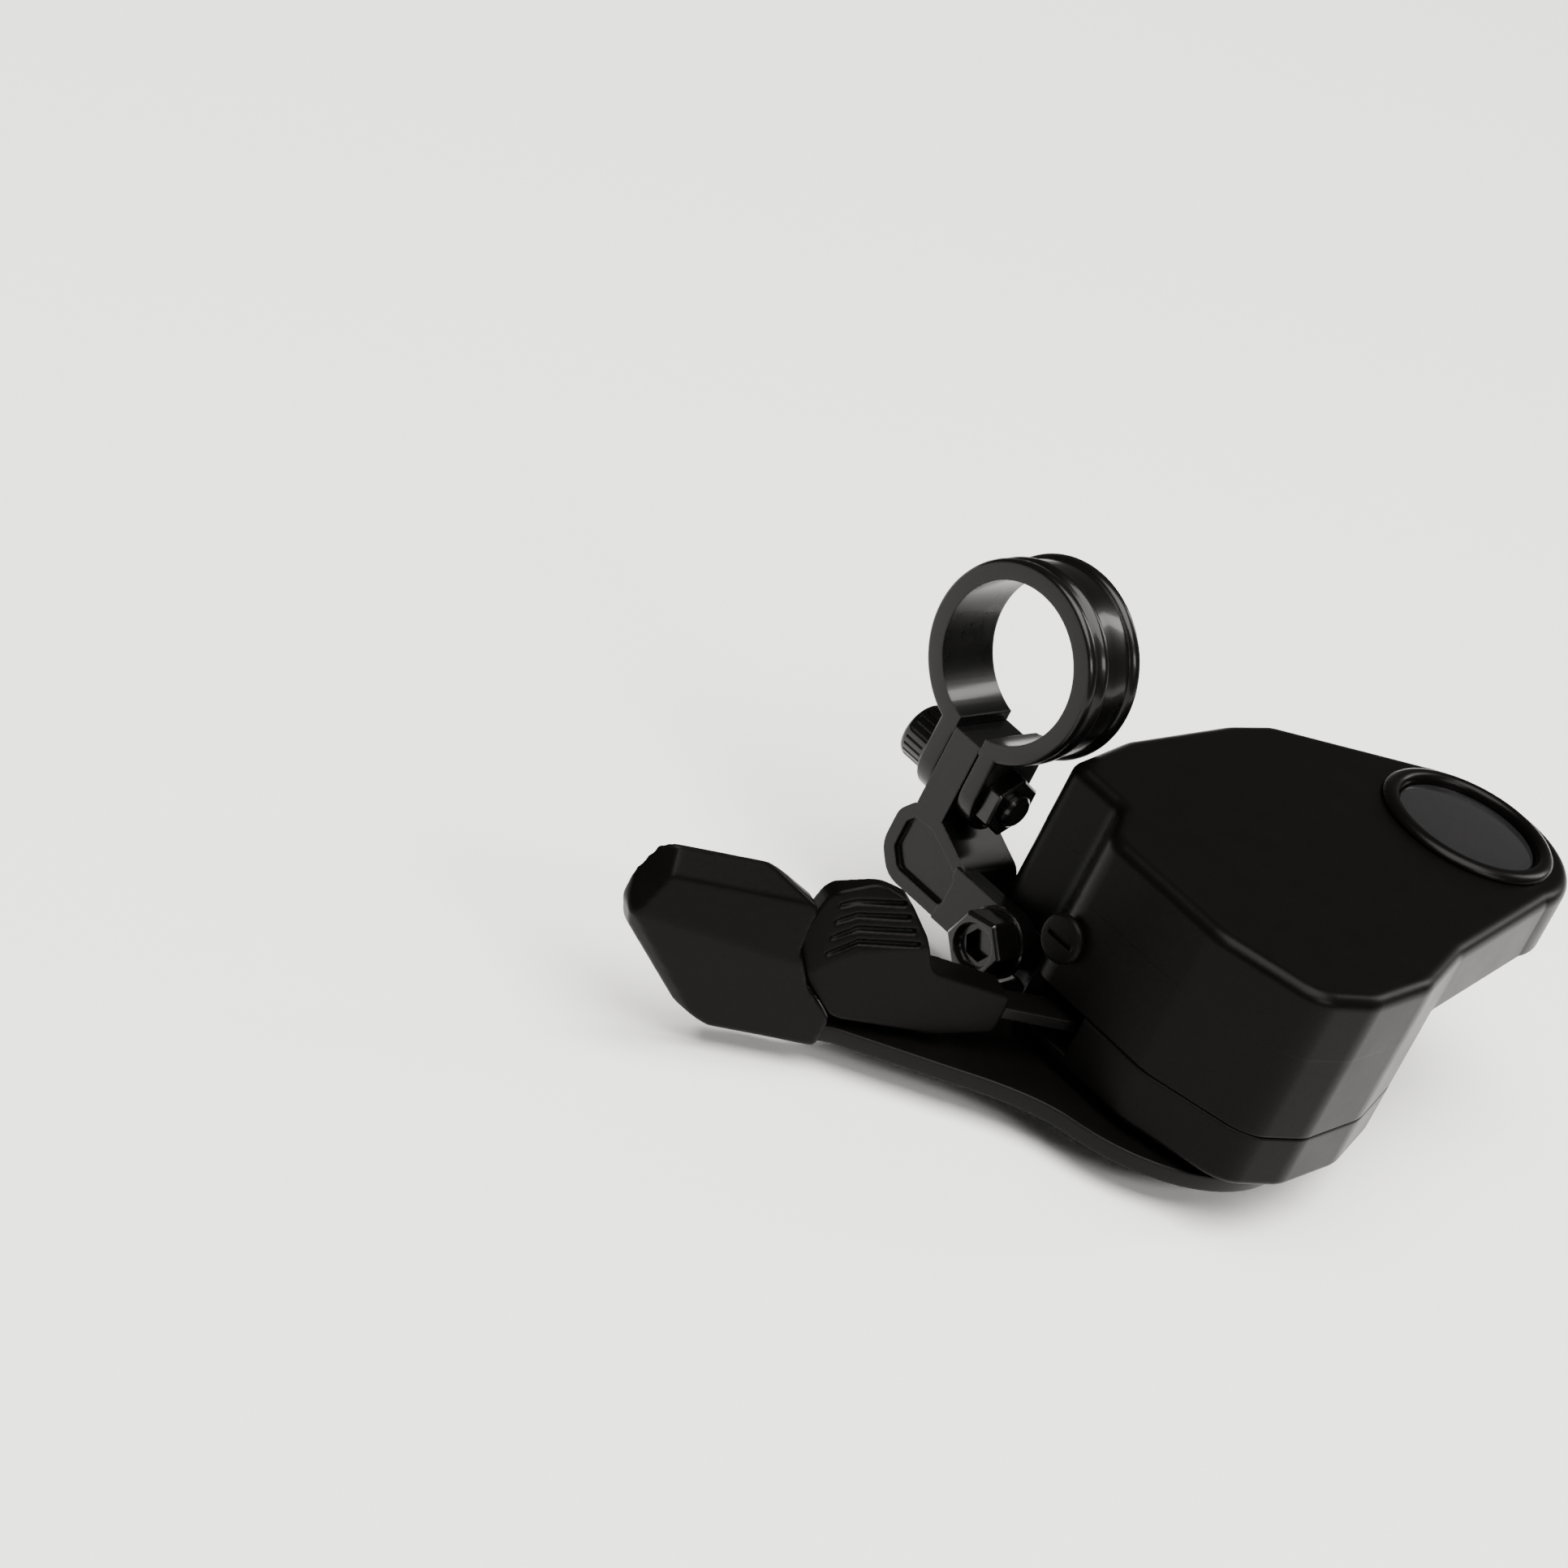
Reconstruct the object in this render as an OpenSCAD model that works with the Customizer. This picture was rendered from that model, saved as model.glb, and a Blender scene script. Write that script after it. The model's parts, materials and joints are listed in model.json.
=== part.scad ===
// Thumb shifter for a flat handlebar, right-hand side: two thumb levers under a pod,
// a cable drum with ratchet and pawls inside, a gear display and a barrel adjuster.
// Origin at the centre of the clamp bore. +X runs outboard along the bar, +Y forward, +Z up.
// The lever axle is parallel to Z.

/* [Handlebar clamp] */
// Diameter of the handlebar
bar_d = 22.2; // [19:0.1:27]
// Radial thickness of the clamp band
band_wall = 2.2; // [1.6:0.1:3]
// Width of the clamp band along the bar
band_w = 11; // [9:0.5:14]
// Gap between the clamp ears, filled by the bracket tongue
ear_gap = 5; // [4:0.5:6.5]
// Thickness of each clamp ear
ear_t = 3; // [2.4:0.1:3.8]
// Diameter of the pinch bolt
pinch_d = 5; // [4:0.5:6]

/* [Pod] */
// Drop from the bar centre to the top face of the pod
pod_drop = 6; // [4:0.5:9]
// Height of the pod from its top face to its underside
pod_h = 31; // [30:0.5:38]
// Wall thickness of both housings
wall = 1.8; // [1.4:0.1:2.4]
// Height of the lower housing
lower_h = 8; // [7.6:0.1:9.6]
// Inboard reach from the axle to the display centre
display_reach = 54; // [48:1:66]
// Outer radius of the display end of the pod
display_r = 16.2; // [14:0.2:20]
// Radius of the display lens
lens_r = 10.4; // [8:0.2:11.4]

/* [Mechanism] */
// Diameter of the main axle
axle_d = 6; // [5:0.1:7.2]
// Radius of the cable groove in the drum
groove_r = 11; // [10:0.1:11.6]
// Drum gear radius that drives the display rack
gear_r = 6; // [5:0.1:6.4]
// Display pinion radius
pinion_r = 3; // [2.5:0.1:3.6]
// Number of ratchet teeth over the full circle
ratchet_teeth = 24; // [18:1:30]
// Thickness of the steel plates
plate_t = 1.6; // [1.2:0.1:2]

/* [Levers] */
// Reach of the main lever from the axle to the paddle tip
main_reach = 87; // [80:1:100]
// Reach of the release lever from the axle to the paddle tip
release_reach = 59.8; // [56:0.2:60]
// Radius of the main lever's hub disc
hub_r = 22.5; // [18:0.5:26]
// Thickness of the main lever's plate
lever_t = 2.6; // [2:0.1:3.2]

/* [Cable adjuster] */
// Outer diameter of the cable housing that seats in the adjuster
housing_d = 4.1; // [3.6:0.1:5]
// Diameter of the adjuster knob
knob_d = 10; // [9:0.5:11]
// Length of the adjuster outside the pod
adjuster_len = 22; // [18:1:28]

/* [Hidden] */
$fn = 48;

// Clearances
fit = 0.05;          // running fit, per side
seat = 0.1;          // seated but separate, per side
run = 0.4;           // gap between moving plates

// Clamp
bore_r = bar_d / 2;
band_r = bore_r + band_wall;
bead_h = 0.7;
pinch_z = -(band_r + 5.7);
ear_end_r = band_w / 2;
pinch_head_h = pinch_d;
pinch_head_r = pinch_d * 0.85;
nut_af = pinch_d * 1.6;
nut_t = pinch_d * 0.7;

// Pod levels, from the top down
top_z = -pod_drop;
bottom_z = top_z - pod_h;
split_z = bottom_z + lower_h;
display_floor_z = top_z - 10;
plate_top_z = top_z - 3;
plate_z = plate_top_z - plate_t;
gear_top_z = plate_z - run;
gear_z = gear_top_z - 1.8;
drum_top_z = gear_z - 0.2;
groove_z = top_z - 16;
drum_z = groove_z - 2.2;
ratchet_z = drum_z - plate_t;
carrier_top_z = ratchet_z - run;
carrier_z = carrier_top_z - plate_t;
floor_top_z = bottom_z + wall;
release_z = floor_top_z + 2.6;
release_top_z = release_z + plate_t;
hub_top_z = bottom_z - 1.4;
hub_z = hub_top_z - lever_t;
axle_end_z = hub_z - 4.2;

// Axle place and radii
px = -5;
py = 42;
axle_r = axle_d / 2;
sleeve_r = axle_r + 2;
pocket_r0 = gear_r + 0.4;
pocket_r1 = groove_r - 1.4;
flange_r = groove_r + 2;
ratchet_r = groove_r + 1.5;
tooth_h = 1.8;
dx = px - display_reach;
dy = py - gear_r + pinion_r;
cable_y = py - groove_r;
pin_r = 1.4;
feed_ring = 17;
hold_ring = 18;
feed_angle = 250;
hold_angle = 100;
trip_angle = 128;
trip_ring = 16;
lever_angle = -25;

// Pod outline in plan, anticlockwise from the rear outboard corner
side_x = px + 16.2;
cheek_x = px + 7.5;
front_y = py + 26.5;
rear_y = py - 31;
inner_x = px - 37;
mech_pts = [
    [cheek_x, rear_y + 3], [cheek_x, rear_y + 13], [side_x, rear_y + 18.5],
    [side_x + 0.3, py + 9], [px + 11, py + 24], [px + 1, front_y],
    [px - 13, front_y - 1.5], [px - 26, front_y - 6.5], [inner_x, front_y - 13],
    [inner_x, rear_y + 2], [px - 31, rear_y - 0.3], [px - 8, rear_y]
];
pod_pts = concat(
    [[cheek_x, rear_y + 3], [cheek_x, rear_y + 13], [side_x, rear_y + 18.5],
     [side_x + 0.3, py + 9], [px + 11, py + 24], [px + 1, front_y],
     [px - 13, front_y - 1.5], [px - 26, front_y - 6.5]],
    [for (a = [92:8:244]) [dx + display_r * cos(a), dy + display_r * sin(a)]],
    [[px - 39, rear_y + 0.9], [px - 31, rear_y - 0.3], [px - 8, rear_y]]
);
screw_places = [[px - 31, rear_y + 6], [px - 29, front_y - 12.5], [px + 9.2, py + 18.4]];
plate_screw_places = [[px - 25, py - 13], [px - 20, py + 14]];
tab_y0 = rear_y + 5.2;
tab_y1 = rear_y + 12;
bracket_bolt_y = rear_y + 8;
bracket_bolt_z = bottom_z + 4.6;
bracket_bolt_r = 2.5;

// Paddle outlines in the lever's own upright plane: reach from the axle, then height
main_pts = [
    [main_reach - 35.8, hub_z - 0.7], [main_reach - 19.5, hub_z - 0.6], [main_reach - 14, hub_z + 1.7],
    [main_reach - 1.9, hub_z + 12.4], [main_reach, hub_z + 15.9], [main_reach - 0.4, hub_z + 22.2],
    [main_reach - 3.3, hub_z + 24.4], [main_reach - 18, hub_z + 24.4], [main_reach - 26.9, hub_z + 20.1],
    [main_reach - 26.5, hub_z + 14], [main_reach - 30.4, hub_z + 8.4], [main_reach - 33.3, hub_z + 6.2],
    [main_reach - 35.8, hub_z + 3.9]
];
// Heel behind the main paddle that carries it down onto the arm
heel_pts = [
    [main_reach - 35.8, hub_z - 0.7], [main_reach - 22, hub_z - 0.6], [main_reach - 21, hub_z + 6],
    [main_reach - 25, hub_z + 12.8], [main_reach - 27.4, hub_z + 12.4], [main_reach - 30.4, hub_z + 8.4],
    [main_reach - 33.3, hub_z + 6.2], [main_reach - 35.8, hub_z + 3.9]
];
release_pts = [
    [release_reach - 33, bottom_z + 2.2], [release_reach - 25, bottom_z + 0.2],
    [release_reach - 9.5, bottom_z + 0.1], [release_reach - 3.8, bottom_z + 4.5],
    [release_reach, bottom_z + 10], [release_reach - 1.9, bottom_z + 17.4],
    [release_reach - 8.1, bottom_z + 20], [release_reach - 13.2, bottom_z + 18.4],
    [release_reach - 17, bottom_z + 14.5], [release_reach - 20, bottom_z + 9.6],
    [release_reach - 33, bottom_z + 8]
];
main_blade_t = 4.4;
release_blade_t = 5;

// Unit normal to the left of the edge from a to b
function left(a, b) = let (d = (b - a) / norm(b - a)) [-d[1], d[0]];
// Outline moved inward by w
function inset(pts, w) = [for (i = [0:len(pts) - 1])
    let (p = pts[i], a = pts[(i + len(pts) - 1) % len(pts)], b = pts[(i + 1) % len(pts)],
         n1 = left(a, p), n2 = left(p, b))
    p + (n1 + n2) * w / (1 + n1 * n2)];
// Outline with every corner rounded to radius r, or as much as its edges allow
function rounded(pts, r, n = 4) = [for (i = [0:len(pts) - 1])
    let (p = pts[i], a = pts[(i + len(pts) - 1) % len(pts)], b = pts[(i + 1) % len(pts)],
         u = (a - p) / norm(a - p), v = (b - p) / norm(b - p), half = acos(u * v) / 2,
         d = min(r / tan(half), 0.45 * min(norm(a - p), norm(b - p))), rr = d * tan(half),
         c = p + (u + v) / norm(u + v) * rr / sin(half), s = p + u * d - c, e = p + v * d - c,
         a0 = atan2(s[1], s[0]), turn = (atan2(e[1], e[0]) - a0 + 540) % 360 - 180)
    for (k = [0:n]) c + rr * [cos(a0 + turn * k / n), sin(a0 + turn * k / n)]];

module prism(pts, z0, z1) { translate([0, 0, z0]) linear_extrude(z1 - z0) polygon(pts); }
module disc(r, z0, z1) { translate([0, 0, z0]) cylinder(r = r, h = z1 - z0); }
module cyl_x(r, x0, x1) { translate([x0, 0, 0]) rotate([0, 90, 0]) cylinder(r = r, h = x1 - x0); }
module cyl_y(r, y0, y1) { translate([0, y1, 0]) rotate([90, 0, 0]) cylinder(r = r, h = y1 - y0); }
module hex(af, h) { cylinder(r = af / sqrt(3), h = h, $fn = 6); }
module at_axle(a = 0) { translate([px, py, 0]) rotate([0, 0, a]) children(); }
// Upright blade in a lever's plane, t thick, its middle set off by side
module blade(pts, t, side) {
    at_axle(lever_angle) translate([0, side + t / 2, 0]) rotate([90, 0, 0]) linear_extrude(t) polygon(pts);
}
// Round wire swept along points, with pointed-off square ends
module wire(path, r, sides = 8) {
    n = len(path);
    ring = [for (i = [0:n - 1])
        let (t = path[min(i + 1, n - 1)] - path[max(i - 1, 0)], d = t / norm(t),
             side = abs(d[2]) > 0.9 ? [1, 0, 0] : [0, 0, 1], u0 = cross(d, side),
             u = u0 / norm(u0), v = cross(d, u))
        for (k = [0:sides - 1]) path[i] + r * (u * cos(360 * k / sides) + v * sin(360 * k / sides))];
    faces = concat(
        [[for (k = [0:sides - 1]) k]],
        [[for (k = [sides - 1:-1:0]) (n - 1) * sides + k]],
        [for (i = [0:n - 2], k = [0:sides - 1])
            [i * sides + k, (i + 1) * sides + k, (i + 1) * sides + (k + 1) % sides, i * sides + (k + 1) % sides]]
    );
    polyhedron(ring, faces);
}
// Helix about Z from angle a0, rising pitch per turn
function helix(r, z0, pitch, turns, a0 = 0, n = 18) = [for (i = [0:round(n * turns)])
    [r * cos(a0 + 360 * i / n), r * sin(a0 + 360 * i / n), z0 + pitch * i / n]];

module clamp_band() color("#141312") {
    difference() {
        union() {
            cyl_x(band_r, -band_w / 2, band_w / 2);
            cyl_x(band_r + bead_h / 2, -band_w / 2, -band_w / 2 + 1.4);
            cyl_x(band_r + bead_h, band_w / 2 - 1.6, band_w / 2);
            cyl_x(band_r + bead_h, band_w / 2 - 4.4, band_w / 2 - 2.8);
            for (s = [-1, 1]) {
                translate([-band_w / 2, s > 0 ? ear_gap / 2 : -ear_gap / 2 - ear_t, pinch_z])
                    cube([band_w, ear_t, -pinch_z - bore_r + 2]);
                translate([0, s * (ear_gap + ear_t) / 2, pinch_z]) cyl_y(ear_end_r, -ear_t / 2, ear_t / 2);
            }
        }
        cyl_x(bore_r, -band_w, band_w);
        translate([-band_w, -ear_gap / 2, pinch_z - band_w]) cube([2 * band_w, ear_gap, band_w - pinch_z]);
        translate([0, 0, pinch_z]) cyl_y(pinch_d / 2 + seat, -band_r, band_r);
        translate([0, ear_gap / 2 + ear_t - 1, pinch_z]) rotate([-90, 0, 0]) hex(nut_af + 2 * seat, nut_t);
    }
}

module clamp_bolt() color("#1d1c1b") {
    head_y = -ear_gap / 2 - ear_t;
    difference() {
        translate([0, 0, pinch_z]) union() {
            cyl_y(pinch_head_r, head_y - pinch_head_h, head_y);
            cyl_y(pinch_d / 2, head_y - 0.5, ear_gap / 2 + ear_t + nut_t + 0.6);
        }
        translate([0, head_y - pinch_head_h - 0.1, pinch_z]) rotate([-90, 0, 0]) hex(pinch_d * 0.8, pinch_head_h * 0.6);
    }
}

module clamp_nut() color("#2a2927") {
    difference() {
        translate([0, ear_gap / 2 + ear_t - 1, pinch_z]) rotate([-90, 0, 0]) hex(nut_af, nut_t);
        translate([0, 0, pinch_z]) cyl_y(pinch_d / 2 + fit, 0, band_r);
    }
}

module bracket() color("#161514") {
    tongue = ear_gap / 2 - fit;
    cheek_t = 3.2;
    cheek_in = cheek_x + seat * 2;
    difference() {
        union() {
            translate([-band_w / 2, -tongue, pinch_z - ear_end_r - 0.4])
                cube([band_w, 2 * tongue, ear_end_r + 0.4 - pinch_z - bore_r - 1.2]);
            translate([-band_w / 2, 0, 0]) rotate([90, 0, 90]) linear_extrude(band_w)
                polygon([[-tongue, pinch_z - ear_end_r - 0.3], [-tongue - 2, pinch_z - ear_end_r - 3],
                    [-tongue - 2, bottom_z + 4], [-tongue + 1, bottom_z + 0.5], [rear_y - 0.6, bottom_z + 0.5],
                    [rear_y - 0.6, pinch_z - ear_end_r - 4], [tongue, pinch_z - ear_end_r - 0.3]]);
            translate([cheek_in, rear_y - 3, bottom_z + 0.5]) cube([cheek_t, 11, 8.4]);
            translate([cheek_in, bracket_bolt_y, bracket_bolt_z]) cyl_x(4.2, 0, cheek_t);
        }
        translate([0, 0, pinch_z]) cyl_y(pinch_d / 2 + seat, -band_r, band_r);
        translate([0, bracket_bolt_y, bracket_bolt_z]) cyl_x(bracket_bolt_r + seat, -band_w, band_r);
    }
}

module bracket_bolt() color("#1b1a19") {
    head_x = cheek_x + seat * 2 + 3.2;
    difference() {
        translate([0, bracket_bolt_y, bracket_bolt_z]) union() {
            cyl_x(bracket_bolt_r, cheek_x - wall - plate_t - 2, head_x + 1);
            cyl_x(5, head_x, head_x + 1);
            translate([head_x + 0.9, 0, 0]) rotate([0, 90, 0]) rotate([0, 0, 12]) hex(8.4, 4.6);
        }
        translate([head_x + 2.6, bracket_bolt_y, bracket_bolt_z]) rotate([0, 90, 0]) hex(4, 4);
    }
}

module upper_housing() color("#1b1a19") {
    outer = rounded(pod_pts, 3);
    inner = rounded(inset(pod_pts, wall), 1.5);
    mech_outer = rounded(mech_pts, 3);
    mech_inner = rounded(inset(mech_pts, wall), 1.5);
    difference() {
        union() {
            difference() {
                union() {
                    prism(outer, display_floor_z, top_z);
                    prism(mech_outer, split_z, top_z);
                }
                prism(inner, display_floor_z + wall, top_z - wall);
                prism(mech_inner, split_z - 1, top_z - wall);
            }
            for (p = screw_places) translate(p) disc(3, split_z, top_z - wall + 0.1);
            for (p = plate_screw_places) translate(p) disc(2.6, plate_top_z, top_z - wall + 0.1);
            translate([inner_x + 1, cable_y, groove_z]) cyl_x(knob_d / 2 - 0.6, -9, 0);
            translate([dx, dy, 0]) disc(2.2, display_floor_z + wall - 0.1, gear_z - 0.15);
        }
        for (p = screw_places) translate(p) disc(1.1, split_z - 1, split_z + 12);
        for (p = plate_screw_places) translate(p) disc(0.9, plate_top_z - 1, top_z - 0.6);
        translate([dx, dy, 0]) disc(lens_r + 1.6, top_z - wall - 1, top_z + 1);
        translate([dx, dy, 0]) disc(1, display_floor_z + 0.8, top_z);
        translate([inner_x, cable_y, groove_z]) cyl_x(2.6, -12, wall + 1);
        translate([side_x - wall - 1, cable_y, groove_z]) cyl_x(2.4, 0, wall + 4);
    }
}

module lower_housing() color("#201f1e") {
    difference() {
        union() {
            difference() {
                prism(rounded(mech_pts, 3), bottom_z, split_z - 0.02);
                prism(rounded(inset(mech_pts, wall), 1.5), floor_top_z, split_z + 1);
            }
            for (p = screw_places) translate(p) disc(3.4, bottom_z, split_z - 0.02);
        }
        // Slot that the release lever swings in
        at_axle() prism([[8, -1.4], [36, -6], [36, -42], [8, -11]], floor_top_z, split_z + 1);
        for (p = screw_places) translate(p) {
            disc(1.6, bottom_z - 1, split_z + 1);
            disc(2.7, bottom_z - 1, bottom_z + 2.2);
        }
        at_axle() disc(sleeve_r + 0.3, bottom_z - 1, split_z);
        translate([0, bracket_bolt_y, bracket_bolt_z]) cyl_x(bracket_bolt_r + seat, px - 6, side_x);
    }
}

module housing_screws() color("#3a3937") {
    for (p = screw_places) translate(p) difference() {
        union() {
            disc(1, bottom_z + 2, split_z + 8);
            disc(2.5, bottom_z + 0.5, bottom_z + 2.15);
        }
        translate([0, 0, bottom_z]) {
            translate([-1.6, -0.35, 0]) cube([3.2, 0.7, 1.4]);
            translate([-0.35, -1.6, 0]) cube([0.7, 3.2, 1.4]);
        }
    }
}

module base_plate() color("#8d8f92") {
    difference() {
        union() {
            prism(rounded([[cheek_x - wall - 0.3, tab_y0], [cheek_x - wall - 0.3, rear_y + 14.2],
                [side_x - wall - 0.5, rear_y + 20], [side_x - wall - 0.3, py + 8],
                [px + 3.6, py + 21.6], [px - 1, front_y - 3], [px - 13, front_y - 5],
                [px - 25, front_y - 9], [px - 28, py - 18], [px - 26, rear_y + 4.6]], 2), plate_z, plate_top_z);
            translate([cheek_x - wall - 0.3 - plate_t, tab_y0, floor_top_z + 0.5])
                cube([plate_t, tab_y1 - tab_y0, plate_top_z - floor_top_z - 0.5]);
        }
        at_axle() disc(axle_r + 0.02, plate_z - 1, top_z);
        at_axle(hold_angle) translate([hold_ring, 0, 0]) disc(pin_r + 0.02, plate_z - 1, top_z);
        for (p = screw_places) translate(p) disc(3.3, plate_z - 1, top_z);
        for (p = plate_screw_places) translate(p) disc(1.2, plate_z - 1, top_z);
        translate([0, bracket_bolt_y, bracket_bolt_z]) cyl_x(bracket_bolt_r + 0.02, px - 6, side_x);
        translate([px, tab_y0 - 1, bottom_z])
            cube([side_x - px, bracket_bolt_y - tab_y0 + 1, bracket_bolt_z + 2 - bottom_z]);
        // Room for the pawl carrier at the end of the lever's stroke
        translate([px, rear_y + 10.6, carrier_z - 1]) cube([side_x - px, 3, drum_z - carrier_z + 1.8]);
    }
}

module plate_screws() color("#b4b5b6") {
    for (p = plate_screw_places) translate(p) {
        disc(0.85, plate_z - 0.5, top_z - 1.2);
        difference() {
            disc(2, plate_z - 1.3, plate_z);
            translate([-1.2, -0.3, plate_z - 1.4]) cube([2.4, 0.6, 0.7]);
            translate([-0.3, -1.2, plate_z - 1.4]) cube([0.6, 2.4, 0.7]);
        }
    }
}

module display_bezel() color("#121110") {
    translate([dx, dy, 0]) rotate_extrude($fn = 64) polygon([
        [lens_r - 1, top_z - wall], [lens_r + 1.5, top_z - wall], [lens_r + 1.5, top_z],
        [lens_r + 2.6, top_z], [lens_r + 2.4, top_z + 0.9], [lens_r + 1.4, top_z + 1.3],
        [lens_r + 0.3, top_z + 1.1], [lens_r + seat, top_z - 0.4], [lens_r + seat, top_z - 1], [lens_r - 1, top_z - 1]]);
}

module display_lens() color("#3b4043") {
    translate([dx, dy, 0]) rotate_extrude($fn = 64) polygon([
        [0, top_z - 0.96], [lens_r, top_z - 0.96], [lens_r, top_z - 0.2], [lens_r * 0.7, top_z + 0.15],
        [lens_r * 0.35, top_z + 0.35], [0, top_z + 0.4]]);
}

module dial_plate() color("#d8d7d2") {
    translate([dx, dy, 0]) difference() {
        disc(lens_r + 0.8, top_z - 4.4, top_z - 3.6);
        disc(1.2, top_z - 5, top_z);
        for (k = [0:6]) rotate([0, 0, k * 30]) translate([lens_r - 3, -0.3, top_z - 3.8]) cube([2, 0.6, 1]);
    }
    translate([dx, dy, 0]) for (a = [90, 235, 305]) rotate([0, 0, a])
        translate([lens_r - 0.4, 0, 0]) disc(0.6, display_floor_z + wall, top_z - 4.2);
}

module gear_pointer() color("#e2562a") {
    translate([dx, dy, 0]) {
        disc(0.9, display_floor_z + 0.9, top_z - 2);
        difference() {
            disc(pinion_r - 0.1, gear_z, gear_top_z);
            for (k = [0:11]) rotate([0, 0, k * 30]) translate([pinion_r, 0, 0]) disc(0.35, gear_z - 1, top_z);
        }
        disc(1.8, top_z - 3.2, top_z - 2);
        prism([[-2.6, -0.6], [lens_r - 3.4, -0.3], [lens_r - 3.4, 0.3], [-2.6, 0.6]], top_z - 3.1, top_z - 2.3);
    }
}

module display_rack() color("#d6d4ce") {
    rack_y = py - gear_r - 0.1;
    rack_l = dx - gear_r * PI / 2 - 1.2;
    difference() {
        translate([rack_l, rack_y - 2.8, gear_z + 0.2]) cube([px + 1.2 - rack_l, 2.8, gear_top_z - gear_z - 0.4]);
        for (x = [rack_l + 1:1.57:px + 0.8]) translate([x, rack_y, 0]) disc(0.35, gear_z - 1, top_z);
    }
}

module main_axle() color("#9a9c9f") {
    at_axle() {
        disc(axle_r, axle_end_z, plate_top_z + 0.2);
        disc(axle_r + 1.6, plate_top_z, plate_top_z + 0.9);
    }
}

module axle_washer() color("#a9abae") {
    at_axle() difference() {
        disc(axle_r + 3.6, hub_z - 0.9, hub_z - 0.05);
        disc(axle_r + fit, hub_z - 2, hub_z + 1);
    }
}

module axle_nut() color("#8e9093") {
    at_axle() difference() {
        translate([0, 0, hub_z - 3.8]) hex(axle_d * 1.65, 2.85);
        disc(axle_r + 0.02, hub_z - 5, hub_z);
    }
}

module thrust_washer() color("#c9c6bd") {
    at_axle() difference() {
        disc(sleeve_r + 4, hub_top_z + 0.1, bottom_z - 0.05);
        disc(sleeve_r + fit, hub_top_z - 1, bottom_z + 1);
    }
}

module cable_drum() color("#c7c4ba") {
    at_axle() difference() {
        union() {
            disc(gear_r - 0.1, drum_top_z - 0.1, gear_top_z);
            rotate_extrude($fn = 72) polygon([
                [0, drum_z], [flange_r, drum_z], [flange_r, groove_z - 0.9], [groove_r, groove_z - 0.7],
                [groove_r, groove_z + 0.7], [flange_r, groove_z + 0.9], [flange_r, groove_z + 2.2],
                [flange_r - 1.4, groove_z + 3], [flange_r - 1.4, drum_top_z], [0, drum_top_z]]);
        }
        difference() {
            disc(pocket_r1, groove_z + 2.2, drum_top_z + 0.01);
            disc(pocket_r0, groove_z + 2, drum_top_z + 1);
        }
        disc(axle_r + fit, drum_z - 1, top_z);
        for (k = [0:23]) rotate([0, 0, k * 15]) translate([gear_r, 0, 0]) disc(0.35, gear_z, top_z);
        // Seat for the head of the gear wire
        rotate([0, 0, 262]) translate([groove_r - 1.6, 0, groove_z]) rotate([0, 0, 8]) cyl_y(1.9, -1, 5);
    }
}

module ratchet_wheel() color("#7e8083") {
    step = 360 / ratchet_teeth;
    at_axle() difference() {
        prism([for (k = [0:ratchet_teeth - 1]) each [
            [ratchet_r * cos(k * step), ratchet_r * sin(k * step)],
            [(ratchet_r - tooth_h) * cos(k * step + 2), (ratchet_r - tooth_h) * sin(k * step + 2)]]],
            ratchet_z, drum_z);
        disc(axle_r + fit, ratchet_z - 1, top_z);
    }
}

module drum_spring() color("#6f7276") {
    turns = 2.6;
    t = 0.35;
    steps = 52;
    span = pocket_r1 - pocket_r0 - 1.2;
    r0 = pocket_r0 + 0.4;
    at_axle() prism(concat(
        [for (i = [0:steps]) let (a = 360 * turns * i / steps, r = r0 + t + span * i / steps) [r * cos(a), r * sin(a)]],
        [for (i = [steps:-1:0]) let (a = 360 * turns * i / steps, r = r0 + span * i / steps) [r * cos(a), r * sin(a)]]),
        groove_z + 2.4, drum_top_z - 0.3);
}

module pawl(nose) {
    difference() {
        hull() {
            disc(2.7, ratchet_z, drum_z);
            translate(nose) disc(0.5, ratchet_z, drum_z);
        }
        disc(pin_r + fit, ratchet_z - 1, drum_z + 1);
    }
}

module feed_pawl() color("#75777a") {
    at_axle(feed_angle) translate([feed_ring, 0, 0]) pawl([ratchet_r - 0.02 - feed_ring, 4.6]);
}

module feed_pawl_pin() color("#b2b4b6") {
    at_axle(feed_angle) translate([feed_ring, 0, 0]) disc(pin_r, carrier_z, drum_z + 1.4);
}

module hold_pawl() color("#75777a") {
    at_axle(hold_angle) translate([hold_ring, 0, 0]) pawl([ratchet_r + 0.12 - hold_ring, -4.2]);
}

module hold_pawl_pin() color("#b2b4b6") {
    at_axle(hold_angle) translate([hold_ring, 0, 0]) disc(pin_r, ratchet_z - 0.2, plate_top_z);
}

module pawl_spring() {
    wire(helix(pin_r + 0.55, drum_z + 0.3, 0.42, 2), 0.18, 6);
}

module feed_pawl_spring() color("#9b9da0") {
    at_axle(feed_angle) translate([feed_ring, 0, 0]) pawl_spring();
}

module hold_pawl_spring() color("#9b9da0") {
    at_axle(hold_angle) translate([hold_ring, 0, 0]) pawl_spring();
}

module pawl_carrier() color("#86888b") {
    at_axle() difference() {
        union() {
            translate([0, 0, carrier_z]) linear_extrude(plate_t) {
                circle(axle_r + 6);
                rotate(feed_angle) translate([0, -2.8]) square([feed_ring, 5.6]);
                rotate(feed_angle) translate([feed_ring, 0]) circle(3);
            }
            disc(sleeve_r, hub_top_z, carrier_z + 0.3);
        }
        disc(axle_r + fit, hub_z, carrier_top_z + 1);
        rotate([0, 0, feed_angle]) translate([feed_ring, 0, 0]) disc(pin_r + 0.02, carrier_z - 1, carrier_top_z + 1);
    }
}

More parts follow.
